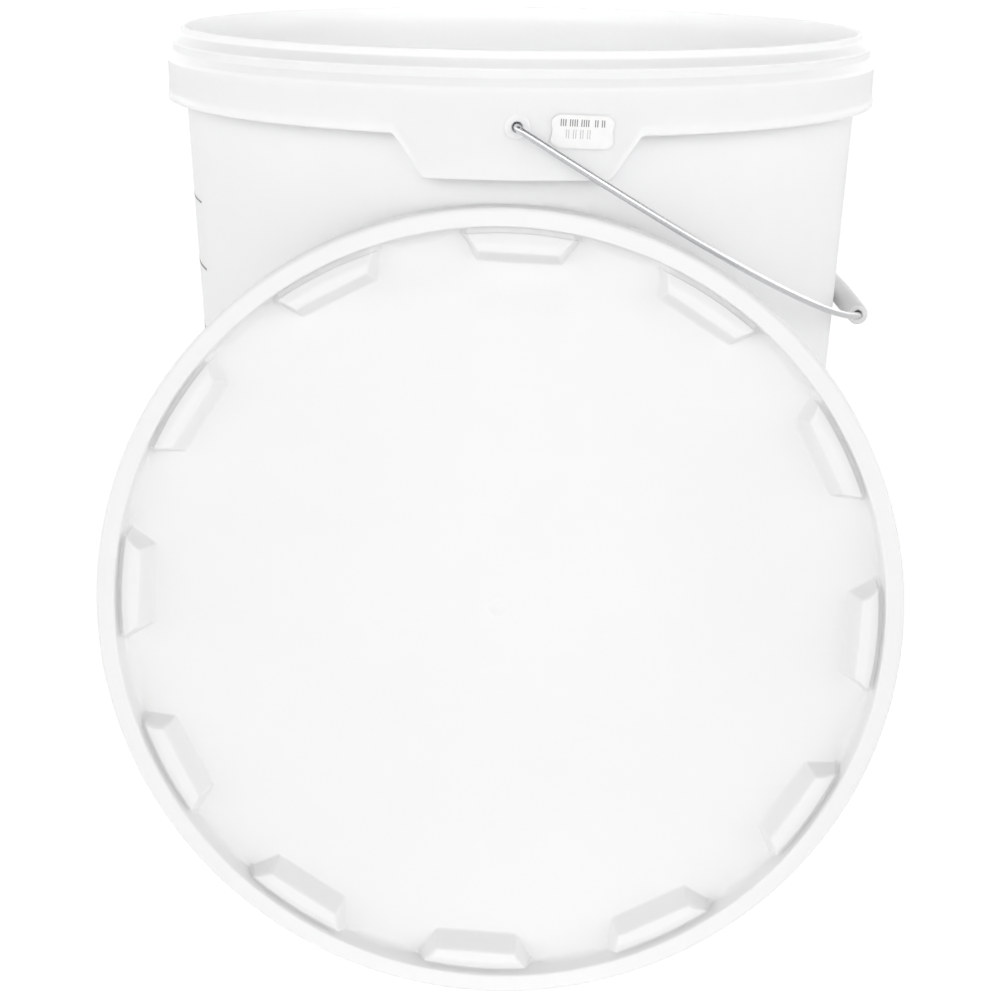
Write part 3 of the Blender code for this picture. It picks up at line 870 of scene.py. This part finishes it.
def on_label(x, y, depth, lift=0.0):
    """Label coordinates, x to the right and y up from its middle, bent onto the skirt."""
    tilt = math.radians(-LABEL_TILT_DEGREES)
    across = x * math.cos(tilt) - y * math.sin(tilt)
    up = x * math.sin(tilt) + y * math.cos(tilt)
    radius = LABEL_INNER + lift + depth
    degrees = LABEL_CENTRE_DEGREES + math.degrees(across / SKIRT_RADIUS)
    return on_pail(radius, degrees, PAIL_TOP - LABEL_DEPTH + up)


def label_outline():
    """A rectangle with the wavy ends that a price gun's roll is cut to."""
    steps = 16
    waves = 2
    depth = 0.7 * MM
    corner = 2.4 * MM
    corner_start = 0.62  # of the way from the middle to an edge
    half_width = LABEL_WIDTH / 2
    half_height = LABEL_HEIGHT / 2
    end = []
    for step in range(steps + 1):
        along = -1 + 2 * step / steps
        wave = depth * 0.5 * (1 - math.cos(2 * math.pi * waves * (along + 1) / 2))
        round_off = corner * (max(0.0, abs(along) - corner_start) / (1 - corner_start)) ** 2
        end.append((half_width - depth + wave - round_off, along * half_height))
    return end + [(-x, -y) for x, y in end]


def rectangle(x, y, width, height):
    return [(x, y), (x + width, y), (x + width, y + height), (x, y + height)]


def make_label():
    """The sticker, and two rows of plain strokes where it is printed."""
    label = curved_patch("label_sticker", label_outline(), LABEL_THICKNESS, on_label)
    lift = LABEL_THICKNESS + 0.01 * MM

    def on_print(x, y, depth):
        return on_label(x, y, depth, lift)

    prints = []
    for index, row in enumerate(LABEL_ROWS):
        strokes = []
        for stroke in range(row["strokes"]):
            if stroke in row["spaces"]:
                continue
            x = row["left"] + stroke * row["pitch"]
            outline = rectangle(x, row["base"], row["width"], row["height"])
            strokes.append(curved_patch("stroke", outline, INK_THICKNESS / 2, on_print))
        prints.append(joined(f"label_print_{index + 1}", strokes))
    return label, prints


def level_of(litres):
    """Height of this much liquid in the pail, from the volume of a cone's slice."""
    low = FLOOR_THICKNESS
    base = wall_radius(low) - WALL_THICKNESS
    volume = litres * LITRE
    cube = base**3 + 3 * WALL_TAPER * volume / math.pi
    return low + (cube ** (1 / 3) - base) / WALL_TAPER


def make_scale():
    """Marks every 2.5 litres, with a figure at every 5, in one thin layer of ink on the wall."""
    marks = []
    for index in range(1, SCALE_MARKS + 1):
        height = level_of(index * SCALE_STEP_LITRES) + SCALE_RAISE
        whole = index % 2 == 0
        length = SCALE_LONG_DEGREES if whole else SCALE_SHORT_DEGREES
        radius = wall_radius(height) + INK_GAP
        line = SCALE_LONG_LINE if whole else SCALE_SHORT_LINE
        width = math.radians(length) * radius

        def place(x, y, depth, height=height, radius=radius):
            degrees = -(SCALE_START_DEGREES + math.degrees(x / radius))
            return on_pail(radius + WALL_TAPER * y + depth, degrees, height + y)

        outline = rectangle(0.0, -line / 2, width, line)
        marks.append(curved_patch("mark", outline, INK_THICKNESS, place))
        if whole:
            litres = round(index * SCALE_STEP_LITRES)
            marks.append(scale_figure(str(litres), height))
    return joined("litre_scale", marks)


def scale_figure(text, height):
    """A plain figure beside its mark, bent onto the wall."""
    curve = bpy.data.curves.new("figure", "FONT")
    curve.body = text
    curve.size = SCALE_FIGURE_SIZE
    curve.align_x = "CENTER"
    curve.align_y = "CENTER"
    curve.extrude = INK_THICKNESS / 2
    item = link("figure", curve)
    bpy.context.view_layer.update()
    graph = bpy.context.evaluated_depsgraph_get()
    mesh = bpy.data.meshes.new_from_object(item.evaluated_get(graph))
    bpy.data.objects.remove(item, do_unlink=True)
    radius = wall_radius(height) + INK_GAP
    for vertex in mesh.vertices:
        x, y, depth = vertex.co
        degrees = -SCALE_FIGURE_DEGREES + math.degrees(x / radius)
        distance = radius + WALL_TAPER * y + depth + INK_THICKNESS / 2
        vertex.co = on_pail(distance, degrees, height + y)
    return link("figure", mesh)


# ---------------------------------------------------------------- lid


def lug_half_width(radius, raised):
    """Half of a lug's width at this radius: at its foot (raised 0) or at its top (raised 1)."""
    share = (radius - LUG_INNER_RADIUS) / (LUG_OUTER_RADIUS - LUG_INNER_RADIUS)
    foot = LUG_INNER_HALF + (LUG_OUTER_HALF - LUG_INNER_HALF) * share
    return foot - raised * LUG_END_DRAFT


def lid_columns(radius):
    """Angles round the lid at one radius. Near the lugs they follow the lugs' slanting ends."""
    even_within = 90 * MM  # nearer the middle, the angles are evenly spaced
    change_run = 45 * MM
    lugs_from = 140 * MM
    sector = 2 * math.pi / LUG_COUNT
    spread = smooth_step(np.float64((radius - even_within) / change_run))
    reach = min(max(radius, lugs_from), LUG_OUTER_RADIUS)
    foot = lug_half_width(reach, 0) / reach
    top = lug_half_width(reach, 1) / reach
    margin = math.radians(0.5)
    beside = math.radians(12)
    knots = [0.0, top - margin, top + margin, foot - margin / 2, foot + margin, beside, sector / 2]
    even = np.linspace(0, sector / 2, len(knots))
    counts = (7, 4, 4, 4, 5, 3)
    half = [0.0]
    for index, count in enumerate(counts):
        for step in range(1, count + 1):
            share = step / count
            near = knots[index] + (knots[index + 1] - knots[index]) * share
            plain = even[index] + (even[index + 1] - even[index]) * share
            half.append(plain + (near - plain) * spread)
    one = np.array([-angle for angle in reversed(half[1:-1])] + half)
    turn = math.radians(LUG_TURN_DEGREES)
    return np.concatenate([one + turn + index * sector for index in range(LUG_COUNT)])


def lug_place(columns, radius):
    """Distance along and across the nearest lug: x along it, y out from the lid's middle."""
    sector = 2 * math.pi / LUG_COUNT
    turned_back = columns - math.radians(LUG_TURN_DEGREES)
    local = turned_back - np.round(turned_back / sector) * sector
    return radius * np.sin(local), radius * np.cos(local), local


def lug_surface(x, y, radius, inset, high):
    """Height of a lug's block: flat top, drafted ends and inner side, and a chamfered outer edge."""
    rise = LID_HEIGHT - LID_PANEL
    inner_foot = LUG_INNER_RADIUS + inset
    inner = LID_PANEL + rise * (y - inner_foot) / LUG_INNER_DRAFT
    foot = lug_half_width(y, 0) - LUG_END_SHARE * inset
    ends = LID_PANEL + rise * (foot - np.abs(x)) / LUG_END_DRAFT
    outer_drop = radius - (LUG_OUTER_RADIUS - LUG_CHAMFER_RUN - inset)
    chamfer = high - LUG_CHAMFER_DROP * outer_drop / LUG_CHAMFER_RUN
    wall = high - (radius - (LUG_OUTER_RADIUS - inset)) * rise / LUG_WALL_RUN
    top = np.full_like(inner, high)
    surface = smooth_min(top, inner, LUG_EDGE_BLEND)
    surface = smooth_min(surface, ends, LUG_EDGE_BLEND)
    surface = smooth_min(surface, chamfer, LUG_EDGE_BLEND / 2)
    return smooth_min(surface, wall, LUG_EDGE_BLEND / 2)


def share_of(value, start, end):
    """0 before the start and 1 after the end, with a smooth change between them."""
    return smooth_step((value - start) / (end - start))


def lid_rings():
    """The lid's surface, ring by ring, from the middle of its top side to the middle of its underside."""
    rings = []

    def add(columns, radius, height):
        x = radius * np.sin(columns)
        y = radius * np.cos(columns)
        rings.append(np.stack([x, y, np.broadcast_to(height, columns.shape)], axis=1))

    # The gate mark in the middle: a small button in a fine ring. Radius and rise, in mm
    gate = ((0.0, 0.25), (1.6, 0.25), (1.9, 0.12), (2.2, 0.0), (3.4, 0.0), (3.7, -0.1), (4.2, 0.0))
    for radius, rise in gate:
        add(lid_columns(0.0), radius * MM, LID_PANEL + rise * MM)
    for radius in LID_PANEL_RINGS:
        add(lid_columns(radius), radius, LID_PANEL)

    lug_first = 143 * MM
    lug_last = LID_COVE_FOOT - LID_GROOVE_COVE
    # Close together at the foot, over the inner slope, at the chamfer and down the outer wall. In mm
    lug_radii = [
        *np.linspace(143.0, 144.4, 4),
        *np.linspace(144.8, 150.8, 15),
        *np.linspace(151.3, 153.1, 4),
        *np.linspace(153.5, 156.7, 10),
        157.0, 157.12, 157.24, 157.3, 157.36, 157.48, 157.6, 158.0, 158.6, lug_last / MM,
    ]
    outer_columns = lid_columns(LUG_OUTER_RADIUS)
    _, _, local = lug_place(outer_columns, LUG_OUTER_RADIUS)
    from_middle = np.degrees(np.abs(local))
    between = share_of(from_middle, *COVE_DEGREES)
    groove_floor = LID_HEIGHT - LID_GROOVE_DEPTH
    groove_rise = (groove_floor - LID_PANEL) * (1 - share_of(from_middle, *GROOVE_END_DEGREES))
    cove = LID_GROOVE_COVE + (LID_COVE_RADIUS - LID_GROOVE_COVE) * between
    cove_start = LID_COVE_FOOT - cove
    for radius in lug_radii:
        share = (radius * MM - lug_first) / (lug_last - lug_first)
        placed = lug_first + (cove_start - lug_first) * share
        columns = lid_columns(radius * MM)
        x, y, _ = lug_place(columns, placed)
        lug = lug_surface(x, y, placed, 0.0, LID_HEIGHT)
        ground = np.full_like(lug, LID_PANEL)
        if radius * MM >= LUG_OUTER_RADIUS:
            ground = ground + groove_rise
        blend = LUG_FOOT_BLEND / 2 if radius * MM < LUG_OUTER_RADIUS - 1 * MM else LID_GROOVE_COVE
        add(columns, placed, smooth_max(ground, lug, blend))
    for degrees in (15, 30, 45, 60, 75, 90):
        angle = math.radians(degrees)
        add(
            outer_columns,
            cove_start + cove * math.sin(angle),
            LID_PANEL + groove_rise + cove * (1 - math.cos(angle)),
        )
    straight = 0.5 * MM  # of the rim's inner wall, above the cove
    wall_foot = np.maximum(LID_PANEL + groove_rise + LID_GROOVE_COVE, LID_PANEL + cove) + straight
    add(outer_columns, LID_COVE_FOOT + 0.02 * MM, wall_foot)

    rim = [
        (LID_COVE_FOOT + 0.1 * MM, LID_HEIGHT - 2 * MM, 0),
        (LID_RIM_INNER, LID_HEIGHT, 0.8 * MM),
        (LID_TOP_RADIUS, LID_HEIGHT, 2 * MM),
        (LID_EDGE_RADIUS, 0.0, 0.4 * MM),
        (LID_EDGE_RADIUS - LID_SHELL + 0.5 * MM, 0.0, 0.2 * MM),
        (LID_EDGE_RADIUS - LID_SHELL - 0.4 * MM, 1.6 * MM, 0.5 * MM),
        (LID_EDGE_RADIUS - LID_SHELL + 0.2 * MM, 3 * MM, 0.5 * MM),
        (LID_TOP_RADIUS - LID_SHELL, LID_HEIGHT - 2 * MM, 0.5 * MM),
        (LID_RIM_INNER + LID_SHELL, LID_HEIGHT - 2 * MM, 0.5 * MM),
        (LID_RIM_INNER + LID_SHELL - 0.6 * MM, 2.5 * MM, 1 * MM),
        (LID_RIM_INNER + LID_SHELL - 2.4 * MM, 0.0, 0.5 * MM),
        (158.4 * MM, 0.0, 0),
    ]
    for radius, height in rounded_profile(rim, 12):
        add(outer_columns, radius, height)

    # The lugs are hollow from below. In mm
    pocket_radii = [
        157.4, 156.6, 156.0, 155.9, 155.8, 155.7, 155.6, 155.5,
        *np.linspace(155.2, 150.6, 7),
        *np.linspace(149.9, 145.9, 9),
        145.0,
    ]
    for radius in pocket_radii:
        columns = lid_columns(radius * MM)
        x, y, _ = lug_place(columns, radius * MM)
        pocket = lug_surface(x, y, radius * MM, LID_SHELL, LID_HEIGHT - LID_SHELL)
        pocket = pocket - LID_PANEL * (pocket < LID_PANEL)
        add(columns, radius * MM, np.maximum(pocket, 0.0))
    for radius in LID_UNDERSIDE_RINGS:
        add(lid_columns(radius), radius, 0.0)
    return np.array(rings)


def make_lid():
    lid = grid_object("lid_shell", lid_rings())
    low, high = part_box("lid")
    lean = math.radians(LID_LEAN_DEGREES)
    lid.location = (
        (low.x + high.x) / 2 + LID_ACROSS,
        high.y - LID_SOLID_EDGE_RADIUS * math.sin(lean),
        low.z + LID_SOLID_EDGE_RADIUS * math.cos(lean),
    )
    lid.rotation_euler = (math.pi / 2 - lean, 0.0, math.radians(LID_TURN_DEGREES))
    return settle(lid)


# ---------------------------------------------------------------- studio


def make_camera():
    data = bpy.data.cameras.new("camera")
    data.lens = CAMERA_LENS
    data.sensor_width = CAMERA_SENSOR
    data.shift_y = CAMERA_SHIFT
    data.clip_start = 0.01
    data.clip_end = 200.0
    camera = bpy.data.objects.new("camera", data)
    bpy.context.scene.collection.objects.link(camera)
    pitch = math.radians(CAMERA_PITCH_DEGREES)
    pan = math.radians(CAMERA_PAN_DEGREES)
    roll = math.radians(CAMERA_ROLL_DEGREES)
    level = math.cos(pitch)
    forward = Vector((math.sin(pan) * level, math.cos(pan) * level, -math.sin(pitch)))
    right = Vector((math.cos(pan), -math.sin(pan), 0.0))
    up = right.cross(forward)
    side = math.cos(roll) * right - math.sin(roll) * up
    top = math.sin(roll) * right + math.cos(roll) * up
    turn = Matrix((side, top, -forward)).transposed().to_4x4()
    camera.matrix_world = Matrix.Translation(Vector(CAMERA_PLACE)) @ turn
    bpy.context.scene.camera = camera


def make_floor():
    half_size = 30.0
    mesh = bpy.data.meshes.new("studio_floor")
    shape = bmesh.new()
    bmesh.ops.create_grid(shape, x_segments=1, y_segments=1, size=half_size)
    shape.to_mesh(mesh)
    shape.free()
    floor = link("studio_floor", mesh)
    nodes = Nodes("studio_paper")
    fibres = nodes.noise(60.0, 4.0)
    nodes.link(nodes.mixed(fibres, *FLOOR_TONES), nodes.shader.inputs["Base Color"])
    nodes.shader.inputs["Roughness"].default_value = 0.9
    nodes.bump(((fibres, 0.2 * MM, 0.1),))
    # It glows as a light table does, more to the camera than to the object
    camera_ray = nodes.tree.nodes.new("ShaderNodeLightPath").outputs["Is Camera Ray"]
    glow = nodes.ranged(camera_ray, 0.0, 1.0, TABLE_GLOW, TABLE_SEEN_GLOW)
    nodes.shader.inputs["Emission Color"].default_value = (1.0, 1.0, 1.0, 1.0)
    nodes.link(glow, nodes.shader.inputs["Emission Strength"])
    mesh.materials.append(nodes.material)


def hang_light(data, place, aim):
    light = bpy.data.objects.new(data.name, data)
    bpy.context.scene.collection.objects.link(light)
    light.visible_camera = False
    light.location = place
    towards = Vector(aim) - light.location
    light.rotation_euler = towards.to_track_quat("-Z", "Y").to_euler()


def make_beam(name, place, aim, degrees, watts):
    """A spotlight whose beam, this many degrees across, fades from its middle to its edge."""
    data = bpy.data.lights.new(name, "SPOT")
    data.energy = watts
    data.spot_size = math.radians(degrees)
    data.spot_blend = 1.0
    data.shadow_soft_size = BEAM_SOURCE_RADIUS
    hang_light(data, place, aim)


def make_softbox(name, place, side, watts):
    data = bpy.data.lights.new(name, "AREA")
    data.shape = "SQUARE"
    data.size = side
    data.energy = watts
    hang_light(data, place, SOFTBOX_AIM)


def make_world():
    """Light from all round that differs by direction, behind a plain backdrop for the camera."""
    world = bpy.data.worlds.new("studio_air")
    world.use_nodes = True
    tree = world.node_tree
    background = tree.nodes["Background"]
    background.inputs["Color"].default_value = (1.0, 1.0, 1.0, 1.0)
    direction = tree.nodes.new("ShaderNodeSeparateXYZ")
    tree.links.new(tree.nodes.new("ShaderNodeTexCoord").outputs["Generated"], direction.inputs[0])

    def ranged(value, low, high, new_low, new_high):
        node = tree.nodes.new("ShaderNodeMapRange")
        node.interpolation_type = "SMOOTHSTEP"
        ends = (("From Min", low), ("From Max", high), ("To Min", new_low), ("To Max", new_high))
        for name, end in ends:
            if isinstance(end, float):
                node.inputs[name].default_value = end
            else:
                tree.links.new(end, node.inputs[name])
        tree.links.new(value, node.inputs["Value"])
        return node.outputs["Result"]

    level = ranged(direction.outputs["Y"], -1.0, 0.4, AIR_LOW_FRONT, AIR_BACK)
    lit = ranged(direction.outputs["Z"], 0.1, 0.9, level, AIR_TOP)
    camera_ray = tree.nodes.new("ShaderNodeLightPath").outputs["Is Camera Ray"]
    seen = ranged(camera_ray, 0.0, 1.0, lit, BACKDROP_STRENGTH)
    tree.links.new(seen, background.inputs["Strength"])
    bpy.context.scene.world = world
    bpy.context.scene.view_settings.view_transform = "Standard"


def make_studio():
    make_world()
    make_floor()
    for softbox in SOFTBOXES:
        make_softbox(*softbox)
    for side in (-1, 1):
        # Over the front lip, onto the other side of the far wall's inside
        start = (0.3 * side, -0.45, PAIL_TOP + 0.3)
        aim = (-0.1 * side, 0.13, PAIL_TOP + 0.18)
        make_beam("inside_beam", start, aim, degrees=60, watts=4.9)
    # Down the front of the lid, onto what faces up at its lower edge
    make_beam("lid_beam", (0.0, -0.4, 1.0), (0.0, -0.215, 0.04), degrees=22, watts=3.8)


# ---------------------------------------------------------------- the model


def place_piece(item, body, material, node=None):
    item.data.materials.clear()
    item.data.materials.append(material)
    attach(item, body)
    if node:
        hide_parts(node)


def main():
    make_camera()
    make_studio()
    place_piece(make_pail(), "pail", natural_plastic(), "pail")
    place_piece(make_lid(), "lid", white_plastic(), "lid")
    place_piece(make_wire(), "bail", galvanised_wire(), "bail_wire")
    place_piece(make_grip(), "grip", grip_plastic(), "bail_grip")
    label, (upper_print, lower_print) = make_label()
    place_piece(label, "pail", label_paper(), "batch_label")
    dark_ink = printed_ink("dark_ink", DARK_INK_TONES)
    pale_ink = printed_ink("pale_ink", PALE_INK_TONES)
    scale_ink = printed_ink("scale_ink", SCALE_INK_TONES)
    place_piece(upper_print, "pail", dark_ink)
    place_piece(lower_print, "pail", pale_ink)
    place_piece(make_scale(), "pail", scale_ink)


main()
